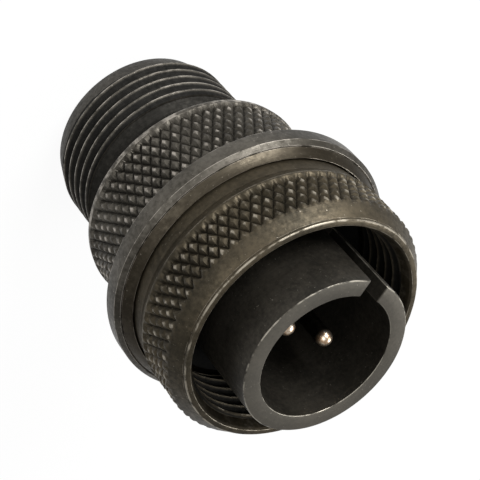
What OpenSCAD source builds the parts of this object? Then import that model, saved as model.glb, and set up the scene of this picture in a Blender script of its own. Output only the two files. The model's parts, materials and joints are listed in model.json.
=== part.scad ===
// Straight circular plug with a free-turning coupling nut and two pin contacts.
// Z runs from the rear face of the endbell to the mating face of the barrel, Y points at the keyway.

/* [Shell] */
// Thickness of the collar that the coupling nut pulls on
collar_t = 0.85; // [0.6:0.05:1.2]
// Step from the neck, where the nut turns, up to the collar
collar_w = 1.3; // [1.1:0.05:1.6]
// Wall under the O-ring's groove in the neck
groove_floor = 0.6; // [0.5:0.05:1]
// Depth of the inner shoulder below the collar
shoulder_drop = 1.65; // [1:0.05:2.5]
// Radial width of the inner shoulder
shoulder_w = 0.9; // [0.6:0.05:1.2]
// Length of the shell behind the snap ring
shell_tail = 0.9; // [0.6:0.05:1.5]

/* [Barrel] */
// Wall of the barrel that enters the receptacle
barrel_wall = 1.65; // [1.2:0.05:1.9]
// Length of the barrel in front of its collar
barrel_len = 11.9; // [10:0.1:14]
// Width of the keyway through the barrel wall
keyway_w = 2.2; // [1.6:0.1:3]
// Length of the keyway from the mating face
keyway_len = 9; // [5:0.1:9.5]
// Edge break on the mating face
barrel_edge = 0.2; // [0.1:0.05:0.4]
// Depth of the undercut that holds the gasket at the barrel's root
gasket_undercut = 0.2; // [0.16:0.01:0.3]

/* [Coupling nut] */
// Bore over the crests of the coupling thread
coupling_minor_d = 20.9; // [18:0.05:24]
// Depth of the chase behind the coupling thread, from its crests
chase_depth = 0.7; // [0.6:0.05:0.9]
// Wall of the nut's plain tail around the chase
tail_wall = 1.3; // [1.1:0.05:2]
// Length of the nut's plain tail
nut_tail_len = 3.15; // [2.7:0.05:4]
// Length of the cone from the tail to the knurl
nut_cone_len = 1.2; // [0.6:0.05:1.5]
// Length of the nut's knurl
nut_knurl_len = 4.1; // [3.5:0.1:5]
// Length of the bevel in front of the knurl
nut_bevel_len = 1.5; // [0.8:0.05:1.6]
// Depth of the mouth in front of the coupling thread, to where its bevel meets the crests
mouth_len = 1.55; // [1:0.05:2]
// Radial width of the rounded lip
lip_w = 0.7; // [0.7:0.01:0.9]
// Height of the rounded lip
lip_h = 0.3; // [0.2:0.05:0.34]
// Thickness of the flange at the nut's tail
nut_web_t = 0.7; // [0.5:0.05:1]

/* [Endbell] */
// Wall around the grommet at the relief
relief_wall = 1; // [0.7:0.05:1.5]
// Depth of the relief below the crests of the accessory thread
relief_depth = 0.9; // [0.75:0.05:1.1]
// Length of the relief between the thread and the grip
relief_len = 3.9; // [3:0.1:5]
// Length from the rear face to the end of the accessory thread
accessory_len = 8.6; // [7.6:0.1:10]
// Length of the smooth lead in front of the first thread
lead_len = 1.9; // [1.2:0.1:2.4]
// Depth of the lead's small end below the crests of the thread
lead_drop = 0.75; // [0.4:0.05:0.9]
// Metal of the grip between the neck and the roots of the knurl
grip_wall = 2; // [1.5:0.1:3]
// Length of the plain rim behind the knurl
rim_len = 0.7; // [0.5:0.05:1.2]
// Depth of the rim below the knurl's tips
rim_drop = 0.1; // [0.05:0.05:0.2]
// Metal between the relief and the seat of the shell's tail
tail_ledge_t = 0.5; // [0.4:0.05:1]
// Length of the big smooth ring
ring_len = 2.05; // [1.8:0.05:2.6]
// Wall behind the recess in the big smooth ring
ring_wall = 0.8; // [0.6:0.05:1]
// Width of the big smooth ring around the guide ring
ring_rim_w = 0.55; // [0.5:0.01:1]
// Edge bevel at the front of the big smooth ring
ring_bevel = 0.42; // [0.2:0.02:0.44]
// Edge breaks of the endbell
endbell_edge = 0.2; // [0.1:0.05:0.3]
// Step from the shell's bore out to the bore around the grommet
grommet_margin = 0.2; // [0.1:0.05:0.4]
// Width of the ledge under the grommet's follower
ledge_w = 0.6; // [0.4:0.05:1]
// Depth of the wire bore to that ledge
wire_bore_len = 5.2; // [4:0.1:6]

/* [Threads] */
// Pitch of both threads
thread_pitch = 1.27; // [1:0.01:1.5]
// Depth of both threads, from crest to root
thread_depth = 0.6; // [0.5:0.05:0.7]
// Width of the flat on a crest
crest_flat = 0.12; // [0.08:0.01:0.18]
// Width of the flat in a root
root_flat = 0.24; // [0.16:0.01:0.3]
// Bevel of the crests where a thread ends at a chase or a relief
thread_bevel = 0.2; // [0.1:0.05:0.4]

/* [Knurls] */
// Distance between neighbouring grooves, square to them
knurl_pitch = 1; // [0.8:0.05:1.5]
// Angle of the grooves to the axis
knurl_angle = 30; // [25:1:45]
// Depth of the grooves
knurl_depth = 0.45; // [0.3:0.05:0.6]

/* [Guide ring] */
// Radial width of the ring that the nut's tail turns in
guide_w = 0.85; // [0.6:0.05:1.2]
// Height of the guide ring's cone over the big smooth ring
guide_nose = 0.72; // [0.4:0.02:1]

/* [Contacts and inserts] */
// Diameter of a contact pin
pin_d = 1.59; // [1.5:0.01:1.7]
// Distance between the two pins
pin_spacing = 5; // [4.6:0.1:5.4]
// Length of pin in front of the insert
pin_reach = 9; // [7:0.1:10]
// Height of the insert's face over the inner shoulder
insert_nose = 2.55; // [1:0.05:3]
// Thickness of the pin insert's flange
pin_insert_t = 3; // [2:0.1:4]
// Thickness of the rear insert
rear_insert_t = 5; // [4:0.1:6]
// Diameter of the contact's stop collar
stop_d = 2.6; // [2.4:0.05:3]
// Thickness of the contact's stop collar
stop_t = 1.2; // [0.8:0.05:1.6]
// Diameter of the contact's solder cup
cup_d = 2.3; // [2.1:0.05:2.4]
// Bore of the solder cup
cup_bore = 1.7; // [1.5:0.05:1.8]
// Depth of the solder cup
cup_len = 4.2; // [3:0.1:4.6]
// Length of the opening in the cup's side
cup_open_len = 2.5; // [1:0.1:3]
// Length of the solder cup behind the rear insert
cup_reach = 4.8; // [3.6:0.1:5.4]
// Width of the rib that keys the inserts to the shell
rib_w = 1.4; // [1:0.1:2]
// Height of that rib
rib_h = 0.45; // [0.3:0.05:0.6]

/* [Seals and rings] */
// Thickness of the flat gasket on the collar
gasket_t = 0.7; // [0.5:0.05:0.9]
// Setback of the flat gasket from the collar's edge
gasket_setback = 0.1; // [0.05:0.05:0.3]
// Thickness of the wave washer's strip
wave_t = 0.2; // [0.15:0.01:0.25]
// Height of the wave washer from trough to crest, outside
wave_h = 0.44; // [0.4:0.02:0.5]
// Number of waves round the washer
waves = 3; // [3:1:5]
// Thickness of the snap ring behind the inserts
snap_t = 0.6; // [0.5:0.05:0.8]
// Depth of the snap ring's groove in the shell
snap_depth = 0.42; // [0.3:0.02:0.5]
// Radial width of the snap ring
snap_w = 1.2; // [1:0.05:1.4]
// Gap between the snap ring's ends
snap_gap = 3.2; // [2:0.1:4]
// Thickness of the cord of the O-ring
oring_cord = 1; // [0.8:0.05:1.2]
// Clearance at each side of the O-ring in its groove
oring_room = 0.1; // [0.05:0.05:0.2]
// Height of the guide ring's seat over the middle of the O-ring
oring_drop = 1.3; // [1:0.1:2]
// Thickness of the grommet's follower
follower_t = 1.25; // [1:0.05:1.6]
// Radial width of the follower
follower_w = 1.55; // [1:0.05:2]
// Bore of the sealing webs in the wire holes
web_bore = 1.9; // [1.6:0.05:2.1]
// Width of a web's narrow crown
web_crown = 0.2; // [0.1:0.05:0.3]
// Length of a web's sloping side
web_flank = 0.25; // [0.1:0.05:0.3]
// Diameter of the wire holes between the webs
wire_hole_d = 2.6; // [2.4:0.05:3]

/* [Fits] */
// Radial clearance where one piece turns on another
running_gap = 0.05; // [0.02:0.01:0.09]
// Radial clearance of pieces that stay put
seat_gap = 0.05; // [0.02:0.01:0.08]
// Radial clearance of the collar in the coupling thread, which it passes when the nut goes on
collar_gap = 0.15; // [0.1:0.05:0.25]
// Radial clearance inside the wave washer and the snap ring
loose_gap = 0.15; // [0.1:0.05:0.2]
// Axial play of the coupling nut, on each side of it
nut_play = 0.1; // [0.05:0.01:0.15]
// Radial gap between the nut's tail and the guide ring
tail_gap = 0.1; // [0.05:0.01:0.12]
// Axial clearance at each side of the wave washer
wave_play = 0.03; // [0.02:0.01:0.05]

/* [Hidden] */
$fn = 128;
cut = 0.1;                 // how far a cutter runs past a face
bite = 0.1;                // how far a knurl band or a thread sinks into the metal beside and under it
band_t = 0.3;              // how thick a knurl band is under its grooves
thread_steps = 40;         // steps in one turn of a thread
thread_step = 0.05;        // step from a thread's end to the plain metal beside it

// Diameters, worked inwards from the coupling thread
collar_od = coupling_minor_d - 2 * collar_gap;
neck_od = collar_od - 2 * collar_w;
insert_bore = neck_od - 2 * (oring_cord + groove_floor);
barrel_bore = insert_bore - 2 * shoulder_w;
barrel_od = barrel_bore + 2 * barrel_wall;
gasket_od = collar_od - 2 * gasket_setback;
grommet_bore = insert_bore + 2 * grommet_margin;
wire_bore = grommet_bore - 2 * ledge_w;

// Diameters, worked outwards from it
mouth_d = coupling_minor_d + 2 * (thread_depth + thread_step);
lip_groove_d = mouth_d + 2 * lip_w;
nut_tail_od = coupling_minor_d + 2 * (chase_depth + tail_wall);
nut_od = nut_tail_od + 2 * knurl_depth;
guide_od = nut_tail_od + 2 * (tail_gap + guide_w);
ring_od = guide_od + 2 * ring_rim_w;
relief_d = grommet_bore + 2 * relief_wall;
accessory_od = relief_d + 2 * relief_depth;
lead_d = accessory_od - 2 * lead_drop;
grip_od = neck_od + 2 * (seat_gap + grip_wall + knurl_depth);

// Heights of the faces that pieces stack on, from the rear face up
rim_z = accessory_len + relief_len;
tail_seat = rim_z + tail_ledge_t;
snap_z = tail_seat + shell_tail;
insert_rear_z = snap_z + snap_t;
insert_split_z = insert_rear_z + rear_insert_t;
shoulder_z = insert_split_z + pin_insert_t;
collar_z = shoulder_z + shoulder_drop;
collar_top_z = collar_z + collar_t;
face_z = collar_top_z + barrel_len;
insert_face_z = shoulder_z + insert_nose;
pin_tip_z = insert_face_z + pin_reach;
cup_end_z = insert_rear_z - cup_reach;
follower_top_z = wire_bore_len + follower_t;
web_top_z = collar_z - wave_h - 2 * wave_play;
nut_z = web_top_z - nut_web_t;
recess_z = nut_z - nut_play;
ring_z = recess_z - ring_wall;
mouth_z = ring_z + ring_len;
nut_knurl_z = nut_z + nut_tail_len + nut_cone_len;
nut_knurl_top_z = nut_knurl_z + nut_knurl_len;
lip_root_z = nut_knurl_top_z + nut_bevel_len;
nut_top_z = lip_root_z + lip_h;
mouth_floor_z = nut_top_z - mouth_len + thread_depth;
thread_bottom_z = collar_top_z + gasket_t + nut_play;
oring_z = recess_z - oring_drop;
oring_half = oring_cord / 2 + oring_room;

// Radii that more than one piece uses
nut_root_r = nut_od / 2 - knurl_depth;
grip_root_r = grip_od / 2 - knurl_depth;
tail_r = nut_tail_od / 2;
chase_r = coupling_minor_d / 2 + chase_depth;
lip_mid_r = (mouth_d + lip_w) / 2;
lip_r = lip_w / 2;
hole_r = pin_d / 2 + seat_gap;
gasket_seat_r = barrel_od / 2 - gasket_undercut;

module turned(points) {
    rotate_extrude() polygon(points);
}

// A band of pointed diamonds. Rows of points stand half a diamond apart along the axis, and
// tops and groove crossings take turns round each row. The end rows lie at the groove's depth.
module knurl_band(od, length) {
    count = round(PI * od * cos(knurl_angle) / knurl_pitch);
    row_step = PI * od / count / 2 / tan(knurl_angle);
    rows = max(3, round(length / row_step));
    cols = 2 * count;
    root_r = od / 2 - knurl_depth;
    core_r = root_r - band_t;
    function is_top(c, k) = k > 0 && k < rows && (c + k) % 2 == 1;
    function at(r, c, z) = [r * cos(180 * c / count), r * sin(180 * c / count), z];
    outer = [for (k = [0:rows], c = [0:cols - 1])
        at(is_top(c, k) ? od / 2 : root_r, c, length * k / rows)];
    inner = [for (z = [0, length], c = [0:cols - 1]) at(core_r, c, z)];
    first_inner = (rows + 1) * cols;
    function o(c, k) = k * cols + c % cols;
    function i(c, k) = first_inner + k * cols + c % cols;
    // Each cell is split from crossing to crossing, which is along a groove
    skin = [for (k = [0:rows - 1], c = [0:cols - 1])
        each (c + k) % 2 == 0
            ? [[o(c, k), o(c + 1, k + 1), o(c + 1, k)], [o(c, k), o(c, k + 1), o(c + 1, k + 1)]]
            : [[o(c, k), o(c, k + 1), o(c + 1, k)], [o(c + 1, k), o(c, k + 1), o(c + 1, k + 1)]]];
    core = [for (c = [0:cols - 1])
        each [[i(c, 0), i(c + 1, 0), i(c + 1, 1)], [i(c, 0), i(c + 1, 1), i(c, 1)]]];
    ends = [for (c = [0:cols - 1])
        each [[o(c, 0), o(c + 1, 0), i(c + 1, 0)], [o(c, 0), i(c + 1, 0), i(c, 0)],
              [o(c, rows), i(c + 1, 1), o(c + 1, rows)], [o(c, rows), i(c, 1), i(c + 1, 1)]]];
    polyhedron(concat(outer, inner), concat(skin, core, ends));
}

// A band of right-handed thread round Z between two heights. Its core sinks into the metal that
// carries it, and it points outwards where its core is the smaller. A crest passes z0 on the X
// axis. A bevel is how far the crests are turned down at an end. The rows of points follow the
// helix, four to a turn, so a row runs on in the fourth row above it after one turn.
module thread_band(crest_r, core_r, z0, z1, bevel0, bevel1) {
    n = thread_steps;
    side = sign(crest_r - core_r);
    rows = 4 * ceil((z1 - z0 + crest_flat) / thread_pitch + 1);
    row_z = [-crest_flat / 2, crest_flat / 2, (thread_pitch - root_flat) / 2, (thread_pitch + root_flat) / 2];
    row_drop = [0, 0, thread_depth, thread_depth];
    function height(i, c) = z0 + thread_pitch * (floor(i / 4) - 1 + c / n) + row_z[i % 4];
    function drop(i, z) = min(thread_depth, max(row_drop[i % 4], bevel0 - (z - z0), bevel1 - (z1 - z)));
    function at(r, c, z) = [r * cos(360 * c / n), r * sin(360 * c / n), z];
    skin_points = [for (i = [0:rows + 4], c = [0:n - 1])
        at(crest_r - side * drop(i, height(i, c)), c, height(i, c))];
    core_points = [for (i = [0, rows], c = [0:n]) at(core_r, c, height(i, c))];
    function o(i, c) = c < n ? i * n + c : (i + 4) * n;
    function q(end, c) = len(skin_points) + end * (n + 1) + c;
    skin = [for (i = [0:rows - 1], c = [0:n - 1])
        each [[o(i, c), o(i + 1, c), o(i + 1, c + 1)], [o(i, c), o(i + 1, c + 1), o(i, c + 1)]]];
    ends = [for (c = [0:n - 1])
        each [[o(0, c), o(0, c + 1), q(0, c + 1)], [o(0, c), q(0, c + 1), q(0, c)],
              [o(rows, c + 1), o(rows, c), q(1, c)], [o(rows, c + 1), q(1, c), q(1, c + 1)]]];
    core = [for (c = [1:n - 2]) [q(0, c), q(0, c + 1), q(1, c + 1), q(1, c)]];
    // The helix starts and ends in a step at the X axis
    seam = concat(
        fan([q(0, 1), q(1, 1), q(1, 0), q(0, n), q(0, 0)]),
        fan([q(0, n - 1), q(0, n), q(1, 0), q(1, n), q(1, n - 1)]),
        fan([q(0, 0), q(0, n), for (k = [4:-1:0]) o(k, 0)]),
        fan([q(1, n), q(1, 0), for (k = [0:4]) o(rows + k, 0)])
    );
    function fan(face) = [for (k = [1:len(face) - 2]) [face[0], face[k], face[k + 1]]];
    function turned_out(face) = side > 0 ? face : [for (k = [len(face) - 1:-1:0]) face[k]];
    intersection() {
        polyhedron(concat(skin_points, core_points),
            [for (face = concat(skin, ends, core, seam)) turned_out(face)]);
        translate([0, 0, z0]) cylinder(r = 2 * crest_r, h = z1 - z0);
    }
}

// Rib or groove that keys the inserts, on the keyway's side
module key_bar(r, w, h, z0, z1) {
    translate([-w / 2, r - cut, z0]) cube([w, h + cut, z1 - z0]);
}

module at_contacts() {
    for (side = [-1, 1]) translate([side * pin_spacing / 2, 0, 0]) children();
}

module plug_shell() {
    neck_r = neck_od / 2;
    bore_r = insert_bore / 2;
    groove_r = neck_r - oring_cord;
    color([0.33, 0.31, 0.28]) difference() {
        turned([
            [bore_r, tail_seat], [neck_r, tail_seat],
            [neck_r, oring_z - oring_half], [groove_r, oring_z - oring_half],
            [groove_r, oring_z + oring_half], [neck_r, oring_z + oring_half],
            [neck_r, collar_z], [collar_od / 2, collar_z], [collar_od / 2, collar_top_z],
            [gasket_seat_r, collar_top_z], [gasket_seat_r, thread_bottom_z],
            [barrel_od / 2, thread_bottom_z], [barrel_od / 2, face_z - barrel_edge],
            [barrel_od / 2 - barrel_edge, face_z], [barrel_bore / 2, face_z],
            [barrel_bore / 2, shoulder_z], [bore_r, shoulder_z]
        ]);
        translate([-keyway_w / 2, 0, face_z - keyway_len]) cube([keyway_w, barrel_od, keyway_len + cut]);
        translate([0, 0, snap_z]) cylinder(r = bore_r + snap_depth, h = snap_t);
        key_bar(bore_r, rib_w + 2 * seat_gap, rib_h + seat_gap, tail_seat - cut, shoulder_z);
    }
}

module coupling_nut() {
    web_r = neck_od / 2 + running_gap;
    color([0.27, 0.25, 0.20]) {
        difference() {
            union() {
                turned([
                    [web_r, nut_z], [tail_r, nut_z], [tail_r, nut_z + nut_tail_len],
                    [nut_od / 2, nut_knurl_z], [nut_root_r - bite, nut_knurl_z + bite],
                    [nut_root_r - bite, nut_knurl_top_z - bite], [nut_od / 2, nut_knurl_top_z],
                    [lip_groove_d / 2, lip_root_z], [lip_mid_r, lip_root_z], [web_r, lip_root_z]
                ]);
                translate([0, 0, nut_knurl_z]) knurl_band(nut_od, nut_knurl_len);
                translate([0, 0, lip_root_z]) rotate_extrude() translate([lip_mid_r, 0]) lip_section();
            }
            turned([
                [0, web_top_z], [chase_r, web_top_z], [chase_r, mouth_floor_z],
                [mouth_d / 2, mouth_floor_z], [mouth_d / 2, nut_top_z + cut], [0, nut_top_z + cut]
            ]);
        }
        thread_band(coupling_minor_d / 2, chase_r + bite, thread_bottom_z, mouth_floor_z,
            thread_bevel, thread_depth - thread_step);
    }
}

// The lip's rounded edge, from its groove to the mouth
module lip_section() {
    intersection() {
        translate([0, lip_h - lip_r]) circle(r = lip_r);
        translate([-lip_r, -bite]) square([2 * lip_r, lip_h + bite]);
    }
}

module nut_guide_ring() {
    inner_r = tail_r + tail_gap;
    outer_r = guide_od / 2;
    color([0.36, 0.34, 0.31]) turned([
        [inner_r, recess_z], [outer_r, recess_z], [outer_r, mouth_z],
        [inner_r, mouth_z + guide_nose]
    ]);
}

// A thin ring that waves up and down all round
module nut_wave_washer() {
    inner_r = neck_od / 2 + loose_gap;
    outer_r = collar_od / 2 - running_gap;
    steps = 72;
    z0 = web_top_z + wave_play;
    function rise(s) = (wave_h - wave_t) * (1 - cos(360 * waves * s / steps)) / 2;
    function at(r, s, z) = [r * cos(360 * s / steps), r * sin(360 * s / steps), z0 + z + rise(s)];
    points = [for (s = [0:steps - 1])
        each [at(inner_r, s, 0), at(outer_r, s, 0), at(outer_r, s, wave_t), at(inner_r, s, wave_t)]];
    function p(s, k) = 4 * (s % steps) + k % 4;
    faces = [for (s = [0:steps - 1], k = [0:3])
        each [[p(s, k), p(s + 1, k), p(s + 1, k + 1)], [p(s, k), p(s + 1, k + 1), p(s, k + 1)]]];
    color([0.55, 0.53, 0.48]) polyhedron(points, faces);
}

module mating_gasket() {
    inner_r = gasket_seat_r + seat_gap;
    outer_r = gasket_od / 2;
    color([0.08, 0.08, 0.08]) turned([
        [inner_r, collar_top_z], [outer_r, collar_top_z], [outer_r, collar_top_z + gasket_t],
        [inner_r, collar_top_z + gasket_t]
    ]);
}

module pin_insert() {
    flange_r = insert_bore / 2 - seat_gap;
    nose_r = barrel_bore / 2 - seat_gap;
    color([0.07, 0.07, 0.07]) difference() {
        union() {
            turned([
                [0, insert_split_z], [flange_r, insert_split_z], [flange_r, shoulder_z],
                [nose_r, shoulder_z], [nose_r, insert_face_z], [0, insert_face_z]
            ]);
            key_bar(flange_r, rib_w, rib_h, insert_split_z, shoulder_z);
        }
        at_contacts() translate([0, 0, insert_split_z - cut])
            cylinder(r = hole_r, h = insert_face_z - insert_split_z + 2 * cut);
    }
}

module rear_insert() {
    flange_r = insert_bore / 2 - seat_gap;
    color([0.09, 0.09, 0.09]) difference() {
        union() {
            translate([0, 0, insert_rear_z]) cylinder(r = flange_r, h = rear_insert_t);
            key_bar(flange_r, rib_w, rib_h, insert_rear_z, insert_split_z);
        }
        at_contacts() {
            translate([0, 0, insert_split_z - stop_t])
                cylinder(r = stop_d / 2 + seat_gap, h = stop_t + cut);
            translate([0, 0, insert_rear_z - cut])
                cylinder(r = cup_d / 2 + seat_gap, h = rear_insert_t + cut);
        }
    }
}

// One turned contact: a round-nosed pin, a stop collar and a solder cup that opens outwards
module contact(side) {
    pin_r = pin_d / 2;
    cup_r = cup_d / 2;
    color([0.80, 0.66, 0.38]) translate([side * pin_spacing / 2, 0, 0]) difference() {
        union() {
            translate([0, 0, insert_split_z]) cylinder(r = pin_r, h = pin_tip_z - pin_r - insert_split_z);
            translate([0, 0, pin_tip_z - pin_r]) sphere(r = pin_r);
            translate([0, 0, insert_split_z - stop_t]) cylinder(r = stop_d / 2, h = stop_t);
            translate([0, 0, cup_end_z]) cylinder(r = cup_r, h = insert_split_z - cup_end_z - stop_t / 2);
        }
        translate([0, 0, cup_end_z - cut]) cylinder(d = cup_bore, h = cup_len + cut);
        translate([side > 0 ? cup_r / 2 : -cup_r / 2 - cup_r, -cup_r, cup_end_z - cut])
            cube([cup_r, 2 * cup_r, cup_open_len + cut]);
    }
}

module contact_left() {
    contact(-1);
}

module contact_right() {
    contact(1);
}

// A split ring sprung into the shell's groove
module insert_snap_ring() {
    outer_r = insert_bore / 2 + snap_depth - seat_gap;
    color([0.60, 0.58, 0.55]) difference() {
        translate([0, 0, snap_z]) cylinder(r = outer_r, h = snap_t);
        translate([0, 0, snap_z - cut]) cylinder(r = outer_r - snap_w, h = snap_t + 2 * cut);
        translate([-snap_gap / 2, 0, snap_z - cut]) cube([snap_gap, outer_r + cut, snap_t + 2 * cut]);
    }
}

module wire_grommet() {
    body_r = grommet_bore / 2 - seat_gap;
    neck_r = insert_bore / 2 - seat_gap;
    nose_r = insert_bore / 2 + snap_depth - snap_w - loose_gap;
    function web_z(k) = follower_top_z + k * (cup_end_z - follower_top_z) / 3;
    color([0.11, 0.11, 0.11]) difference() {
        turned([
            [0, follower_top_z], [body_r, follower_top_z], [body_r, tail_seat],
            [neck_r, tail_seat], [neck_r, snap_z], [nose_r, snap_z], [nose_r, insert_rear_z],
            [0, insert_rear_z]
        ]);
        at_contacts() turned(concat(
            [[0, follower_top_z - cut], [wire_hole_d / 2, follower_top_z - cut]],
            // Each web is a ridge with a narrow crown and sloping sides
            [for (k = [1:2]) each [
                [wire_hole_d / 2, web_z(k) - web_crown / 2 - web_flank],
                [web_bore / 2, web_z(k) - web_crown / 2],
                [web_bore / 2, web_z(k) + web_crown / 2],
                [wire_hole_d / 2, web_z(k) + web_crown / 2 + web_flank]
            ]],
            [[wire_hole_d / 2, insert_rear_z + cut], [0, insert_rear_z + cut]]
        ));
    }
}

module grommet_follower() {
    outer_r = grommet_bore / 2 - seat_gap;
    color([0.50, 0.48, 0.44]) translate([0, 0, wire_bore_len]) difference() {
        cylinder(r = outer_r, h = follower_t);
        translate([0, 0, -cut]) cylinder(r = outer_r - follower_w, h = follower_t + 2 * cut);
    }
}

module endbell() {
    thread_r = accessory_od / 2;
    relief_r = relief_d / 2;
    ring_r = ring_od / 2;
    rim_r = grip_od / 2 - rim_drop;
    knurl_z = rim_z + rim_len;
    color([0.29, 0.28, 0.25]) {
        difference() {
            union() {
                turned([
                    [0, 0], [lead_d / 2 - endbell_edge, 0], [lead_d / 2, endbell_edge],
                    [thread_r - endbell_edge, lead_len],
                    [relief_r, lead_len], [relief_r, rim_z], [rim_r - endbell_edge, rim_z],
                    [rim_r, rim_z + endbell_edge], [rim_r, knurl_z - endbell_edge],
                    [grip_root_r + bite, knurl_z], [grip_root_r - bite, knurl_z],
                    [grip_root_r - bite, ring_z], [ring_r, ring_z],
                    [ring_r, mouth_z - ring_bevel], [ring_r - ring_bevel, mouth_z], [0, mouth_z]
                ]);
                translate([0, 0, knurl_z - bite]) knurl_band(grip_od, ring_z - knurl_z + 2 * bite);
                thread_band(thread_r, relief_r - bite, lead_len, accessory_len,
                    endbell_edge + thread_step, thread_bevel);
            }
            turned([
                [0, -cut], [wire_bore / 2 + endbell_edge + cut, -cut], [wire_bore / 2, endbell_edge],
                [wire_bore / 2, wire_bore_len], [grommet_bore / 2, wire_bore_len],
                [grommet_bore / 2, tail_seat], [neck_od / 2 + seat_gap, tail_seat],
                [neck_od / 2 + seat_gap, recess_z], [guide_od / 2 + seat_gap / 2, recess_z],
                [guide_od / 2 + seat_gap / 2, mouth_z + cut], [0, mouth_z + cut]
            ]);
        }
    }
}

module endbell_oring() {
    centre_r = neck_od / 2 - oring_cord / 2;
    color([0.05, 0.05, 0.05]) rotate_extrude() translate([centre_r, oring_z]) circle(d = oring_cord);
}

plug_shell();
coupling_nut();
nut_guide_ring();
nut_wave_washer();
mating_gasket();
pin_insert();
rear_insert();
contact_left();
contact_right();
insert_snap_ring();
wire_grommet();
grommet_follower();
endbell();
endbell_oring();
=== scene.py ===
"""The looks of a circular cable plug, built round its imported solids. Lengths are in metres."""
import json
import math

import bmesh
import bpy
import numpy as np
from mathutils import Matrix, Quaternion, Vector


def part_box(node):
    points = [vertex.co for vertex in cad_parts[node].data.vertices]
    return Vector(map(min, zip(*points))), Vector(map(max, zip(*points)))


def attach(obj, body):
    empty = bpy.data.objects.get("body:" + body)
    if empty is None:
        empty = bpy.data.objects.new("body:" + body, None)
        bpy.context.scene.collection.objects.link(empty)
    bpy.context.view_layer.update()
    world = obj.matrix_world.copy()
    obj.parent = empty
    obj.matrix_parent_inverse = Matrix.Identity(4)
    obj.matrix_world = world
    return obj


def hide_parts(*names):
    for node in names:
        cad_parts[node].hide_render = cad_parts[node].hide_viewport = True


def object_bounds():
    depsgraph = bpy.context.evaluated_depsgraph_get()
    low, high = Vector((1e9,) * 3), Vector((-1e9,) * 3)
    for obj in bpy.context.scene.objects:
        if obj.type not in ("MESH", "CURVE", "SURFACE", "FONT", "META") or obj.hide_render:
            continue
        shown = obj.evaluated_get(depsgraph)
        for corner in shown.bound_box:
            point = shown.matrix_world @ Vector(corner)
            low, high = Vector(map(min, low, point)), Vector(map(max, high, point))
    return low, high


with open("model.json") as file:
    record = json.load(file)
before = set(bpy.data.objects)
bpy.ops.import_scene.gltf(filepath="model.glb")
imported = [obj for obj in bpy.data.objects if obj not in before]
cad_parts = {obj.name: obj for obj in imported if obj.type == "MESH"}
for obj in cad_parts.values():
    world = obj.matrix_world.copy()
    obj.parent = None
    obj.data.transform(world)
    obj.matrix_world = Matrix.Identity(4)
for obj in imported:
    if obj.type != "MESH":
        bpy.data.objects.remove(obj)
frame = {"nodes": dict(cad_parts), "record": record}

MM = 0.001
TURN = 2 * math.pi
cad_low, cad_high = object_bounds()


def mount_radius(name):
    """The radius that the record gives for a mount."""
    mount = next(m for m in frame["record"]["mounts"] if m["name"] == name)
    return mount["dims"]["r_mm"] * MM


# --- Sizes -------------------------------------------------------------------------------------
# Places come from the solids' boxes and the record's mounts. What those don't say is named here.
nut_low, nut_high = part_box("coupling_nut")
guide_low, guide_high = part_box("nut_guide_ring")
shell_low, shell_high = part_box("plug_shell")
gasket_low, gasket_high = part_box("mating_gasket")
snap_low, snap_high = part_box("insert_snap_ring")
oring_low, oring_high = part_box("endbell_oring")
follower_low, follower_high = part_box("grommet_follower")
bell_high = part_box("endbell")[1]
pin_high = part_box("contact_left")[1]
barrel_r = mount_radius("mating_barrel")
crest_in_r = mount_radius("coupling_thread")
crest_out_r = mount_radius("accessory_thread")
wire_r = mount_radius("wire_entry")

# Shell
barrel_bore_r = 6.5 * MM
insert_bore_r = 7.4 * MM
neck_r = 9.0 * MM
collar_r = 10.3 * MM
collar_t = 0.85 * MM
shoulder_z = 22.5 * MM
keyway_w = 2.2 * MM
keyway_len = 9.0 * MM
gasket_undercut = 0.2 * MM
oring_groove = 1.0 * MM
snap_groove = 0.42 * MM

# Coupling nut
nut_cone_z = nut_low.z + 3.15 * MM
nut_knurl_z = nut_cone_z + 1.2 * MM
nut_knurl_top = nut_knurl_z + 4.1 * MM
lip_h = 0.3 * MM
lip_w = 0.7 * MM
lip_groove = 0.06 * MM                     # step from the bevel in to the lip
mouth_r = 11.1 * MM
mouth_len = 1.55 * MM
chase_r = 11.15 * MM
web_t = 0.7 * MM

# Endbell and guide ring
lead_len = 1.9 * MM
lead_r = 8.75 * MM
lead_end_r = 9.3 * MM
accessory_len = 8.6 * MM
relief_r = 8.6 * MM
relief_len = 3.9 * MM
rim_r = 11.4 * MM
rim_len = 0.7 * MM
grip_r = 11.5 * MM
ring_len = 2.05 * MM
ring_bevel = 0.42 * MM
guide_bore_r = 12.55 * MM

# Fits
seat_gap = 0.05 * MM                       # beside pieces that sit or turn in one another
press_gap = 0.03 * MM                      # seam round the guide ring
play = 0.1 * MM                            # over the gasket and beside the O-ring

# Knurls and threads
knurl_depth = 0.45 * MM
knurl_angle = math.radians(30)
knurl_pitch = 1.0 * MM
knurl_land = 0.06 * MM                     # how far the plain metal beside a knurl lies under its tips
seam = 0.03 * MM                           # from a knurl's last row to the plain metal's first
GRID = 8                                   # mesh steps across one diamond
DIAMOND = (0.0, 0.36, 0.71, 0.97, 1.0)     # height over the groove, from groove to middle
CHIP = 0.12                                # how far chips reach down from the tips, in knurl depths
thread_pitch = 1.27 * MM
thread_depth = 0.6 * MM
# Phase in one pitch, the share of the thread's depth there, and the wear and painted light there:
# worn crests, and painted shade in the roots
THREAD = ((0.0, 0.0, 0.95), (0.045, 0.0, 0.5), (0.09, 0.11, -0.44), (0.17, 0.32, -1.0),
          (0.28, 0.6, -1.0), (0.44, 1.0, -1.0), (0.56, 1.0, -1.0), (0.72, 0.6, -1.0),
          (0.83, 0.32, -1.0), (0.91, 0.11, -0.44), (0.955, 0.0, 0.5))
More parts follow.
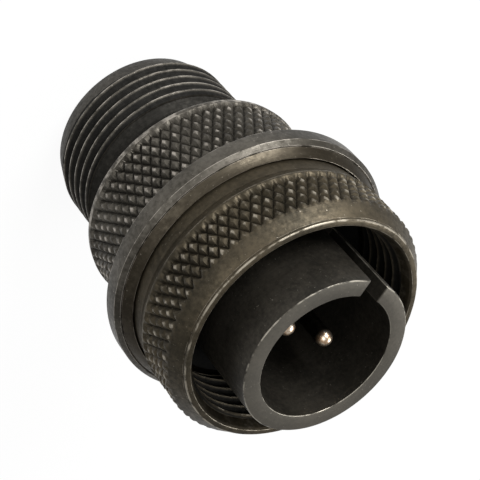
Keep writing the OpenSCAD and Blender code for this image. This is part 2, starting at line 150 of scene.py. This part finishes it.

# The wear_and_painted_light channel runs from 1, pale, through 0 to -1, dark. Pale is rubbed metal on
# tips, crests and edges, and painted light on the mouth, the rim and cut tips. Dark is painted shade in
# the thread's roots, the knurl's grooves, the bevel and the relief, with some grime, and a darker nose.
TIP_WEAR = 0.72
# Painted shade with some grime in the knurl's grooves
GROOVE_GRIME_AND_SHADE = -0.55
CUT_GLINT = 0.7                             # painted glint where a bevel has cut the knurl's tips
# Painted shade on the nut's bevel and on the cut tips in it
BEVEL_SHADE = -0.3
# Painted light on the nut's mouth
MOUTH_LIGHT = 0.45
# Darker on the endbell's plain nose
LEAD_DARKER = -0.45
# Painted shade in the relief behind the accessory thread
RELIEF_SHADE = -0.75
# Painted light on the rim
RIM_LIGHT = 0.7


# --- Mesh tools --------------------------------------------------------------------------------
WELD = 0.0002 * MM                         # points closer than this are one
SHARP = math.radians(32)                   # edges that turn more than this stay sharp


def rounded(corners, steps=3):
    """Rows (radius, height, wear) round a section's corners, anticlockwise.

    A corner is (radius, height, fillet), with its fillet in millimetres. Outer fillets are worn."""
    rows = []
    for k, (r, z, fillet_mm) in enumerate(corners):
        here = Vector((r, z))
        if not fillet_mm:
            rows.append((r, z, 0.0))
            continue
        fillet = fillet_mm * MM
        before = (Vector(corners[k - 1][:2]) - here).normalized()
        after = (Vector(corners[k + 1][:2]) - here).normalized()
        half = before.angle(after) / 2
        centre = here + (before + after).normalized() * fillet / math.sin(half)
        start = here + before * fillet / math.tan(half) - centre
        end = here + after * fillet / math.tan(half) - centre
        sweep = math.atan2(start.x * end.y - start.y * end.x, start.dot(end))
        convex = 1.0 if sweep > 0 else 0.0
        for s in range(steps + 1):
            turn = sweep * s / steps
            x = start.x * math.cos(turn) - start.y * math.sin(turn)
            y = start.x * math.sin(turn) + start.y * math.cos(turn)
            rows.append((centre.x + x, centre.y + y, convex if 0 < s < steps else 0.0))
    return rows


def distance_to_groove(steps):
    """How far a count of mesh steps is from the nearest groove, from 0 to 1 in mid-diamond."""
    return abs((steps + GRID / 2) % GRID - GRID / 2) / (GRID / 2)


def knurl_count(tip_r):
    """How many diamonds go round a knurl."""
    return round(TURN * tip_r * math.cos(knurl_angle) / knurl_pitch)


def knurl_rows(tip_r, z0, z1, fade0, fade1, blank_r=None, pale_cut_to=0.0):
    """Rows of a diamond knurl between two heights. Its grooves run out over a fade at each end.

    blank_r(height) is the radius the tips are turned down to, where that is less than tip_r. Up to
    the height pale_cut_to, what it cuts off the tips is painted pale as a glint; above it, painted shade."""
    count = knurl_count(tip_r)
    columns = np.arange(count * GRID)
    diamond = TURN * tip_r / count / math.tan(knurl_angle)
    steps = round((z1 - z0) / diamond * GRID)
    chips = np.random.default_rng(7)
    rows = []
    for k in range(steps + 1):
        z = z0 + (z1 - z0) * k / steps
        near = np.minimum(distance_to_groove(columns + k), distance_to_groove(columns - k))
        height = np.interp(near, np.linspace(0, 1, len(DIAMOND)), DIAMOND)
        share = min(1.0, (z - z0) / fade0, (z1 - z) / fade1)
        blank = blank_r(z) if blank_r else tip_r
        chip = chips.uniform(0, CHIP, len(columns)) * height
        radius = tip_r - knurl_depth * share * (1 - height + chip)
        # Tips are worn pale; grooves are painted shade with some grime
        wear_and_painted_light_tone = TIP_WEAR * height ** 2 + GROOVE_GRIME_AND_SHADE * (1 - height) ** 2
        wear_and_painted_light = np.where(radius > blank, CUT_GLINT if z < pale_cut_to else BEVEL_SHADE, wear_and_painted_light_tone * share)
        rows.append((np.minimum(radius, blank), z, wear_and_painted_light))
    return rows


def thread_rows(crest_z, z0, z1, columns, radius):
    """Rows that follow a right-handed helix from z0 up to z1, and their shift at the seam.

    A crest passes crest_z on the X axis, and radius(depth share, height) gives the radius.
    Rows outside the span lie on its ends."""
    turn = np.arange(columns) / columns
    first = math.floor((z0 - crest_z) / thread_pitch) - 1
    last = math.ceil((z1 - crest_z) / thread_pitch)
    rows = []
    for p in range(first, last + 1):
        for phase, depth, wear_and_painted_light in THREAD:
            z = np.clip(crest_z + thread_pitch * (p + phase + turn), z0, z1)
            rows.append((radius(depth, z), z, np.where((z > z0) & (z < z1), wear_and_painted_light, 0.0)))
    return rows, len(THREAD)


def falling(rows, shift):
    """Helix rows in falling order, for the wall of a bore."""
    return rows[::-1], -shift


def lathe(name, parts, columns, angles=None):
    """A closed ring of rows turned about Z. A part is a list of rows, or (rows, shift at the seam).

    angles(radius) gives the columns' angles, which are evenly spaced if it isn't given."""
    rows, partner, knurled = [], [], []
    for part in parts:
        part, shift = part if isinstance(part, tuple) else (part, 0)
        first, last = len(rows), len(rows) + len(part) - 1
        partner += [min(max(i + shift, first), last) for i in range(first, last + 1)]
        knurled += [bool(np.ndim(row[0])) and not shift for row in part]
        rows += part
    count = len(rows)
    even = TURN * np.arange(columns) / columns
    radii, heights, wear_and_painted_light = (np.array([np.broadcast_to(row[k], columns) for row in rows])
                            for k in range(3))
    angle = np.array([even if angles is None else angles(row[0]) for row in rows])
    points = np.stack([radii * np.cos(angle), radii * np.sin(angle), heights], axis=-1)
    faces = []
    for i in range(count):
        up = (i + 1) % count
        for j in range(columns):
            seam = j == columns - 1
            a, d = i * columns + j, up * columns + j
            b, c = (partner[i] * columns, partner[up] * columns) if seam else (a + 1, d + 1)
            if knurled[i] and knurled[up]:
                # Each cell is split along the nearer groove
                k = i - knurled.index(True)
                rising = distance_to_groove(j - k) < distance_to_groove(j + k + 1)
                faces += [(a, b, c), (a, c, d)] if rising else [(a, b, d), (b, c, d)]
            else:
                faces.append((a, b, c, d))
    return solid(name, points.reshape(-1, 3), faces, wear_and_painted_light.ravel())


def solid(name, points, faces, wear_and_painted_light):
    """A smooth mesh with sharp corners, its double points welded and its wear and painted light kept per
    point.
    """
    mesh = bpy.data.meshes.new(name)
    mesh.from_pydata(points.tolist(), [], faces)
    mesh.attributes.new("wear_and_painted_light", "FLOAT", "POINT").data.foreach_set("value", wear_and_painted_light.astype(np.float32))
    bm = bmesh.new()
    bm.from_mesh(mesh)
    bmesh.ops.remove_doubles(bm, verts=bm.verts, dist=WELD)
    bm.to_mesh(mesh)
    bm.free()
    mesh.shade_smooth()
    mesh.set_sharp_from_angle(angle=SHARP)
    piece = bpy.data.objects.new(name, mesh)
    bpy.context.scene.collection.objects.link(piece)
    weighted = piece.modifiers.new("normals", "WEIGHTED_NORMAL")
    weighted.keep_sharp = True
    return piece


# --- Pieces ------------------------------------------------------------------------------------
def make_nut():
    """Plain tail, cone, knurl, bevel and rounded lip, with the coupling thread inside."""
    tip_r, top = nut_high.x, nut_high.z
    tail_r, land_r = tip_r - knurl_depth, tip_r - knurl_land
    web_r, web_z = neck_r + seat_gap, nut_low.z + web_t
    lip_z, lip_r = top - lip_h, mouth_r + lip_w
    slope = (tip_r - lip_r - lip_groove) / (lip_z - nut_knurl_top)
    land_len = 0.25 * MM                   # plain land between the cone and the knurl
    run_out_z = nut_knurl_top + 0.35 * MM  # where the knurl has run out in the bevel
    # Cut tips below this height are painted pale as a glint
    pale_cut_to = run_out_z - 0.2 * MM
    mouth_flare = 0.12 * MM                # how far the lip's inner edge stands back from the mouth
    mouth_taper = 0.05 * MM
    flare_h = 0.22 * MM
    lead_in = 0.3 * MM                     # chamfer at both ends of the thread
    thread_z0 = gasket_high.z + play
    cone_z, cone_r = top - mouth_len + 0.45 * MM, crest_in_r + lead_in
    columns = knurl_count(tip_r) * GRID

    def bevel_r(z):
        return min(tip_r, tip_r - (z - nut_knurl_top) * slope)

    def bore_radius(share, z):
        chamfer = crest_in_r + np.maximum(z - (cone_z - lead_in), thread_z0 + lead_in - z)
        cut = np.clip((cone_z - z) / lead_in, 0, 1)
        root = crest_in_r + (mouth_r - crest_in_r) * share * cut
        return np.maximum(np.minimum(chamfer, mouth_r), root)

    tail = rounded([(web_r, nut_low.z, 0), (tail_r, nut_low.z, 0.15), (tail_r, nut_cone_z, 0.4),
                    (land_r, nut_knurl_z - land_len, 0.15), (land_r, nut_knurl_z - seam, 0)])
    knurl = knurl_rows(tip_r, nut_knurl_z, run_out_z, 0.4 * MM, 0.5 * MM, bevel_r, pale_cut_to)
    front = rounded([(bevel_r(run_out_z + seam), run_out_z + seam, 0),
                     (lip_r + lip_groove, lip_z, 0.04), (lip_r, lip_z, 0.03), (lip_r, top, 0.2),
                     (mouth_r + mouth_flare, top, 0.1), (mouth_r - mouth_taper, top - flare_h, 0.1),
                     (cone_r, cone_z + 0.02 * MM, 0)])
    mouth_lit_r = mouth_r + 0.03 * MM      # painted light, alike over the mouth inside this radius
    # The mouth is painted light and the bevel below the lip painted shade
    front = [(r, z, MOUTH_LIGHT if r < mouth_lit_r else BEVEL_SHADE if z < lip_z - lip_groove else wear_and_painted_light)
             for r, z, wear_and_painted_light in front]
    thread = falling(*thread_rows(thread_z0, thread_z0, cone_z, columns, bore_radius))
    back = rounded([(chase_r, thread_z0, 0), (chase_r, web_z, 0.1), (web_r, web_z, 0.05),
                    (web_r, nut_low.z + 0.05 * MM, 0)])
    return lathe("coupling_nut_turned", [tail, knurl, front, thread, back], columns)


def make_endbell():
    """Threaded nose, relief, rim, knurled grip and big smooth ring, bored through."""
    ring_r, top = bell_high.x, bell_high.z
    ring_z = top - ring_len
    rim_z = accessory_len + relief_len
    knurl_z = rim_z + rim_len
    root_r = grip_r - knurl_depth
    edge = 0.2 * MM                        # edge break of the wire entry
    run_in = 0.5 * MM                      # over which the thread reaches its depth behind the lead
    thread_z0, thread_z1 = lead_len + 0.02 * MM, accessory_len - 0.2 * MM
    seat_r, grommet_r = guide_high.x + press_gap, follower_high.x + seat_gap
    columns = knurl_count(grip_r) * GRID

    def nose_radius(share, z):
        blank = np.minimum(lead_end_r + (z - thread_z0), crest_out_r)
        return blank - thread_depth * share * np.minimum((z - thread_z0) / run_in, 1.0)

    nose = rounded([(wire_r + edge, 0, 0), (lead_r, 0, 0.15), (lead_end_r, lead_len, 0)])
    # The nose is made darker
    nose = [(r, z, wear_and_painted_light + LEAD_DARKER) for r, z, wear_and_painted_light in nose]
    thread = thread_rows(lead_len, thread_z0, thread_z1, columns, nose_radius)
    relief = rounded([(relief_r + 0.7 * MM, accessory_len - 0.18 * MM, 0),
                      (relief_r, accessory_len + 0.5 * MM, 0.3), (relief_r, rim_z, 0.3),
                      (rim_r, rim_z, 0.18), (rim_r, knurl_z - 0.12 * MM, 0.1),
                      (grip_r - knurl_depth * 0.6, knurl_z - 0.04 * MM, 0)])
    rim_lit_r = grip_r - 0.2 * MM         # painted light, alike over the rim outside this radius
    # The relief is painted shade and the rim painted light
    relief = [(r, z, RELIEF_SHADE if z < rim_z else max(wear_and_painted_light, RIM_LIGHT if r > rim_lit_r else 0))
              for r, z, wear_and_painted_light in relief]
    knurl = knurl_rows(grip_r, knurl_z, ring_z - 0.15 * MM, 0.3 * MM, 0.3 * MM)
    ring = rounded([(root_r, ring_z - 0.08 * MM, 0), (root_r + 0.05 * MM, ring_z, 0),
                    (ring_r, ring_z, 0.14), (ring_r, top - ring_bevel, 0.08),
                    (ring_r - ring_bevel, top, 0.06), (seat_r, top, 0.04),
                    (seat_r, guide_low.z, 0.1), (neck_r + seat_gap, guide_low.z, 0),
                    (neck_r + seat_gap, shell_low.z, 0), (grommet_r, shell_low.z, 0.1),
                    (grommet_r, follower_low.z, 0.1), (wire_r, follower_low.z, 0.15),
                    (wire_r, edge, 0)])
    return lathe("endbell_turned", [nose, thread, relief, knurl, ring], columns)


def make_guide_ring():
    """The ring round the nut's tail, with its sloped nose."""
    outer_r, nose_w = guide_high.x, 0.1 * MM
    section = rounded([(guide_bore_r, guide_low.z, 0), (outer_r, guide_low.z, 0.1),
                       (outer_r, bell_high.z, 0.08), (guide_bore_r + nose_w, guide_high.z, 0.05),
                       (guide_bore_r, guide_high.z - nose_w, 0)])
    return lathe("nut_guide_ring_turned", [section], columns=320)


def make_shell():
    """Neck, collar and keyed barrel. The keyway's columns keep its walls parallel."""
    half = keyway_w / 2
    edge = 0.12 * MM
    top, floor = shell_high.z, shell_high.z - keyway_len
    plain_z = floor - 0.3 * MM             # where the keyway's columns end in a plain ring
    round_steps = 200

    # Each column's offset from the keyway's wall along X, and how low its top lies
    wall = [(edge, 0), (edge * 0.62, edge * 0.08), (edge * 0.3, edge * 0.3), (edge * 0.08, edge * 0.62),
            (0, edge), (0, keyway_len - edge), (-edge * 0.3, keyway_len - edge * 0.3), (-edge, keyway_len)]

    def angles(radius):
        near = [TURN / 4 - math.asin((half + offset) / radius) for offset, _ in wall]
        far = [TURN / 2 - a for a in near]
        gap = near[0] + TURN - far[0]
        turn = [far[0] + gap * (s + 1) / (round_steps + 1) for s in range(round_steps)]
        return np.array(near + far[::-1] + turn)

    drops = [drop for _, drop in wall]
    drops = np.array(drops + drops[::-1] + [0.0] * round_steps)
    collar_z = gasket_low.z - collar_t
    undercut_r, undercut_z = barrel_r - gasket_undercut, gasket_high.z + play
    oring_r, oring_z0, oring_z1 = neck_r - oring_groove, oring_low.z - play, oring_high.z + play
    snap_r = insert_bore_r + snap_groove
    outside = rounded([(insert_bore_r, shell_low.z, 0), (neck_r, shell_low.z, 0.15),
                       (neck_r, oring_z0, 0.05), (oring_r, oring_z0, 0.1), (oring_r, oring_z1, 0.1),
                       (neck_r, oring_z1, 0.05), (neck_r, collar_z, 0.1), (collar_r, collar_z, 0.1),
                       (collar_r, gasket_low.z, 0.1), (undercut_r, gasket_low.z, 0.05),
                       (undercut_r, undercut_z, 0.05), (barrel_r, undercut_z, 0.05),
                       (barrel_r, plain_z, 0)])
    face = rounded([(barrel_r, floor, 0), (barrel_r, top, 0.13), (barrel_bore_r, top, 0.08),
                    (barrel_bore_r, floor, 0)], steps=4)
    inside = rounded([(barrel_bore_r, plain_z, 0), (barrel_bore_r, shoulder_z, 0.05),
                      (insert_bore_r, shoulder_z, 0.1), (insert_bore_r, snap_high.z, 0),
                      (snap_r, snap_high.z, 0), (snap_r, snap_low.z, 0),
                      (insert_bore_r, snap_low.z, 0), (insert_bore_r, shell_low.z + 0.1 * MM, 0)])
    rim = [(r, z - drops, wear_and_painted_light) for r, z, wear_and_painted_light in face[1:-1]]
    return lathe("plug_shell_turned", [outside, rim, inside], len(drops), angles)


nut = make_nut()
endbell = make_endbell()
guide_ring = make_guide_ring()
shell = make_shell()
for piece, body, node, slot in ((nut, "nut", "coupling_nut", "nut_plating"),
                                (endbell, "plug", "endbell", "endbell_plating"),
                                (guide_ring, "plug", "nut_guide_ring", "ring_plating"),
                                (shell, "plug", "plug_shell", "shell_plating")):
    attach(piece, body)
    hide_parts(node)


# --- Materials ---------------------------------------------------------------------------------
# Near-black for painted shade with some grime
GRIME_AND_SHADE = (0.004, 0.004, 0.0035)
DUST = (0.03, 0.028, 0.024)
PIN_SHAFT_SHADE = (0.035, 0.03, 0.022)


def add_node(tree, kind, inputs, **settings):
    """A shader node. An input is a value, or a socket that is linked to it."""
    node = tree.nodes.new("ShaderNode" + kind)
    for name, value in settings.items():
        setattr(node, name, value)
    for key, value in inputs.items():
        if isinstance(value, bpy.types.NodeSocket):
            tree.links.new(value, node.inputs[key])
        else:
            node.inputs[key].default_value = value
    return node


def noise(tree, vector, size, detail=3.0, roughness=0.55):
    """Noise from 0 to 1 whose patches are about that size across."""
    inputs = {"Vector": vector, "Scale": 1 / size, "Detail": detail, "Roughness": roughness}
    return add_node(tree, "TexNoise", inputs).outputs["Fac"]


def ramp(tree, value, low, high, out_low=0.0, out_high=1.0):
    """A smooth step of the value between two levels."""
    inputs = {"Value": value, "From Min": low, "From Max": high, "To Min": out_low, "To Max": out_high}
    return add_node(tree, "MapRange", inputs, interpolation_type="SMOOTHSTEP").outputs["Result"]


def maths(tree, operation, a, b):
    """Two values joined by a sum or the like."""
    return add_node(tree, "Math", {0: a, 1: b}, operation=operation).outputs[0]


def mix_colour(tree, factor, a, b):
    """Colour a where the factor is 0, and b where it is 1."""
    a, b = ((*c, 1.0) if isinstance(c, tuple) else c for c in (a, b))
    return add_node(tree, "Mix", {"Factor": factor, "A": a, "B": b}, data_type="RGBA").outputs["Result"]


def new_material(name):
    """A material, its node tree and the inputs of its surface."""
    material = bpy.data.materials.new(name)
    material.use_nodes = True
    tree = material.node_tree
    return material, tree, tree.nodes["Principled BSDF"].inputs


def place_on_piece(tree):
    return add_node(tree, "TexCoord", {}).outputs["Object"]


def height_on_piece(tree, place):
    return add_node(tree, "SeparateXYZ", {0: place}).outputs["Z"]


def turned_place(tree, place):
    """Coordinates in which a lathe's marks are fine along the axis and long round it."""
    split = add_node(tree, "SeparateXYZ", {0: place})
    x, y, z = split.outputs
    flat = add_node(tree, "CombineXYZ", {"X": x, "Y": y, "Z": 0.0}).outputs[0]
    radius = add_node(tree, "VectorMath", {0: flat}, operation="LENGTH").outputs["Value"]
    round_about = add_node(tree, "VectorMath", {0: flat, "Scale": 0.03}, operation="SCALE").outputs[0]
    marks = add_node(tree, "CombineXYZ", {"X": radius, "Y": 0.0, "Z": z}).outputs[0]
    return add_node(tree, "VectorMath", {0: marks, 1: round_about}, operation="ADD").outputs[0]


def finish_surface(tree, surface, colour, roughness, relief, relief_depth, strength):
    """Links a surface's colour and roughness, and a bump from its fine relief."""
    bump = add_node(tree, "Bump", {"Height": relief, "Distance": relief_depth, "Strength": strength})
    tree.links.new(colour, surface["Base Color"])
    tree.links.new(roughness, surface["Roughness"])
    tree.links.new(bump.outputs[0], surface["Normal"])


def plating(name, dark, light, wear_and_painted_light_tone, rough, face_z=None):
    """Dull plated metal: cloudy colour, lathe marks, specks, wear on edges and tips, painted light,
    and painted shade with grime.

    Above the height face_z it is a little paler."""
    material, tree, surface = new_material(name)
    place = place_on_piece(tree)
    cloud = noise(tree, place, 5 * MM, 4.0)
    mottle = noise(tree, place, 0.45 * MM, 5.0, 0.65)
    marks = noise(tree, turned_place(tree, place), 0.06 * MM, 2.0)
    tone = maths(tree, "ADD", maths(tree, "MULTIPLY", cloud, 0.5), maths(tree, "MULTIPLY", mottle, 0.5))
    colour = mix_colour(tree, ramp(tree, tone, 0.36, 0.66), dark, light)
    if face_z:
        height = height_on_piece(tree, place)
        pale = ramp(tree, height, face_z - 0.03 * MM, face_z - 0.01 * MM, 0.0, 0.2)
        colour = mix_colour(tree, pale, colour, wear_and_painted_light_tone)

    specks = ramp(tree, noise(tree, place, 0.22 * MM, 2.0), 0.69, 0.76, 0.0, 0.7)
    # The channel carries wear, painted light and painted shade per point
    wear_and_painted_light = add_node(tree, "Attribute", {}, attribute_name="wear_and_painted_light").outputs["Fac"]
    patch = ramp(tree, noise(tree, place, 1.4 * MM, 3.0), 0.38, 0.6, 0.4, 1.0)
    # Pale where rubbed, and painted light on the mouth, the rim and cut tips
    rubbed_and_lit = maths(tree, "MULTIPLY", wear_and_painted_light, maths(tree, "ADD", mottle, 0.35))
    rubbed_and_lit = ramp(tree, maths(tree, "MULTIPLY", rubbed_and_lit, patch), 0.25, 0.75)
    colour = mix_colour(tree, maths(tree, "MAXIMUM", specks, rubbed_and_lit), colour, wear_and_painted_light_tone)
    # Painted shade with some grime where the channel is negative
    grime_and_shade = ramp(tree, wear_and_painted_light, -1.0, 0.0, 0.9, 0.0)
    colour = mix_colour(tree, grime_and_shade, colour, GRIME_AND_SHADE)

    scuffs = ramp(tree, marks, 0.35, 0.7, -0.05, 0.06)
    roughness = maths(tree, "ADD", scuffs, ramp(tree, mottle, 0.3, 0.7, rough + 0.05, rough - 0.05))
    roughness = maths(tree, "ADD", roughness, maths(tree, "MULTIPLY", grime_and_shade, 0.3))
    relief = maths(tree, "ADD", maths(tree, "MULTIPLY", marks, 0.5), mottle)
    finish_surface(tree, surface, colour, roughness, relief, 0.012 * MM, 0.6)
    surface["Metallic"].default_value = 0.75
    return material


def moulded(name, dark, light, rough, grain):
    """Black rubber or plastic: faint mottling, dust and a fine grain."""
    material, tree, surface = new_material(name)
    place = place_on_piece(tree)
    mottle = noise(tree, place, 1.2 * MM, 4.0)
    fine = noise(tree, place, grain, 3.0, 0.7)
    dust = ramp(tree, noise(tree, place, 0.3 * MM, 3.0), 0.66, 0.78, 0.0, 0.35)
    colour = mix_colour(tree, ramp(tree, mottle, 0.35, 0.65), dark, light)
    roughness = ramp(tree, fine, 0.3, 0.7, rough - 0.06, rough + 0.06)
    finish_surface(tree, surface, mix_colour(tree, dust, colour, DUST), roughness, fine, 0.02 * MM, 0.5)
    surface["Specular IOR Level"].default_value = 0.15
    return material


def bright_metal(name, dark, light, rough, bright_z=None):
    """Bare or gold-washed metal with fine turned lines, painted dark below the height bright_z as shade.
    """
    material, tree, surface = new_material(name)
    place = place_on_piece(tree)
    marks = noise(tree, turned_place(tree, place), 0.05 * MM, 2.0)
    stain = noise(tree, place, 0.5 * MM, 4.0, 0.6)
    colour = mix_colour(tree, ramp(tree, stain, 0.38, 0.62), dark, light)
    if bright_z:
        # Painted shade on the shafts below bright_z
        above_shade = ramp(tree, height_on_piece(tree, place), bright_z, bright_z + 0.5 * MM)
        colour = mix_colour(tree, above_shade, PIN_SHAFT_SHADE, colour)
    roughness = ramp(tree, stain, 0.3, 0.7, rough + 0.08, rough - 0.04)
    finish_surface(tree, surface, colour, roughness, marks, 0.006 * MM, 0.5)
    surface["Metallic"].default_value = 1.0
    return material


def dress(node, material):
    """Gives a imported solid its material."""
    solid_object = frame["nodes"][node]
    for held in solid_object.material_slots:
        held.material = material
    if not solid_object.material_slots:
        solid_object.data.materials.append(material)


nut_plating = plating("nut_plating", (0.026, 0.021, 0.012), (0.07, 0.056, 0.035), (0.28, 0.25, 0.2), 0.5)
endbell_plating = plating("endbell_plating", (0.032, 0.028, 0.021), (0.095, 0.086, 0.071),
                          (0.34, 0.31, 0.27), 0.48)
ring_plating = plating("ring_plating", (0.02, 0.015, 0.008), (0.05, 0.041, 0.027),
                       (0.26, 0.23, 0.19), 0.36)
shell_plating = plating("shell_plating", (0.02, 0.018, 0.014), (0.06, 0.053, 0.042),
                        (0.26, 0.24, 0.2), 0.45, face_z=shell_high.z)
front_black = moulded("front_insert_black", (0.006, 0.006, 0.006), (0.014, 0.013, 0.012), 0.6, 0.1 * MM)
rear_black = moulded("rear_insert_black", (0.01, 0.01, 0.01), (0.02, 0.019, 0.018), 0.55, 0.12 * MM)
seal_black = moulded("seal_black", (0.002, 0.002, 0.0015), (0.004, 0.004, 0.003), 0.85, 0.08 * MM)
grommet_black = moulded("grommet_black", (0.012, 0.012, 0.012), (0.025, 0.024, 0.023), 0.75, 0.1 * MM)
# The pins' shafts are painted shade up to 1.1 mm below their tips
pin_metal = bright_metal("pin_metal", (0.5, 0.33, 0.2), (0.9, 0.8, 0.66), 0.3, pin_high.z - 1.1 * MM)
spring_metal = bright_metal("spring_metal", (0.4, 0.38, 0.35), (0.6, 0.58, 0.55), 0.25)
follower_metal = bright_metal("follower_metal", (0.4, 0.38, 0.34), (0.55, 0.53, 0.5), 0.4)

for piece, material in ((nut, nut_plating), (endbell, endbell_plating),
                        (guide_ring, ring_plating), (shell, shell_plating)):
    piece.data.materials.append(material)
for node, material in (("pin_insert", front_black), ("rear_insert", rear_black),
                       ("mating_gasket", seal_black), ("endbell_oring", seal_black),
                       ("wire_grommet", grommet_black), ("contact_left", pin_metal),
                       ("contact_right", pin_metal), ("nut_wave_washer", spring_metal),
                       ("insert_snap_ring", spring_metal), ("grommet_follower", follower_metal)):
    dress(node, material)


# --- Floor, light and camera -------------------------------------------------------------------
def make_floor():
    """A pale floor that looks white in the picture and keeps a faint shadow."""
    half = 1.5
    whiteness = 0.93
    corners = [(-half, -half, 0), (half, -half, 0), (half, half, 0), (-half, half, 0)]
    mesh = bpy.data.meshes.new("floor")
    mesh.from_pydata(corners, [], [(0, 1, 2, 3)])
    floor = bpy.data.objects.new("floor", mesh)
    bpy.context.scene.collection.objects.link(floor)
    material, tree, surface = new_material("floor")
    surface["Base Color"].default_value = (0.9, 0.9, 0.9, 1)
    surface["Roughness"].default_value = 0.8
    white = add_node(tree, "Emission", {"Color": (1, 1, 1, 1), "Strength": 1.0}).outputs[0]
    shown = add_node(tree, "MixShader", {0: maths(tree, "MULTIPLY", seen_directly(tree), whiteness),
                                         1: tree.nodes["Principled BSDF"].outputs[0], 2: white})
    tree.links.new(shown.outputs[0], tree.nodes["Material Output"].inputs["Surface"])
    mesh.materials.append(material)


def seen_directly(tree):
    """1 for camera, glossy and transmission rays, which see the background white."""
    path = add_node(tree, "LightPath", {}).outputs
    seen = maths(tree, "MAXIMUM", path["Is Camera Ray"], path["Is Glossy Ray"])
    return maths(tree, "MAXIMUM", seen, path["Is Transmission Ray"])


def make_world(strength):
    """An even white surround."""
    world = bpy.data.worlds.new("studio")
    world.use_nodes = True
    background = world.node_tree.nodes["Background"].inputs
    background["Color"].default_value = (1, 1, 1, 1)
    background["Strength"].default_value = strength
    bpy.context.scene.world = world


def softbox(name, towards, distance, width, power):
    """A square lamp that faces the plug from a direction."""
    data = bpy.data.lights.new(name, "AREA")
    data.size = width
    data.energy = power
    lamp = bpy.data.objects.new(name, data)
    lamp.location = middle + Vector(towards).normalized() * distance
    lamp.rotation_mode = "QUATERNION"
    lamp.rotation_quaternion = Vector(towards).to_track_quat("Z", "Y")
    bpy.context.scene.collection.objects.link(lamp)


def make_camera():
    """A long lens, looking down on the mating end and rolled so that this end is low in the picture."""
    azimuth, elevation, roll = (math.radians(a) for a in (157.93, 42.14, 139.8))
    distance_mm = 150.1
    aim = middle + Vector((1.04, 0.49, 0.84)) * MM
    back = Vector((math.cos(elevation) * math.cos(azimuth), math.cos(elevation) * math.sin(azimuth),
                   math.sin(elevation)))
    camera = bpy.data.objects.new("camera", bpy.data.cameras.new("camera"))
    camera.data.sensor_width = 36
    camera.data.lens = 120
    camera.data.clip_start = 0.01
    camera.location = aim + back * distance_mm * MM
    camera.rotation_mode = "QUATERNION"
    camera.rotation_quaternion = back.to_track_quat("Z", "Y") @ Quaternion((0, 0, 1), roll)
    bpy.context.scene.collection.objects.link(camera)
    bpy.context.scene.camera = camera


middle = (cad_low + cad_high) / 2
make_floor()
make_world(strength=0.45)
softbox("key", (-0.15, 0.88, 0.45), distance=0.25, width=0.14, power=0.9)
softbox("fill", (-0.7, 0.0, 0.7), distance=0.3, width=0.2, power=0.25)
softbox("rim", (0.6, 0.2, 0.7), distance=0.25, width=0.12, power=0.35)
make_camera()
bpy.context.scene.view_settings.view_transform = "Standard"
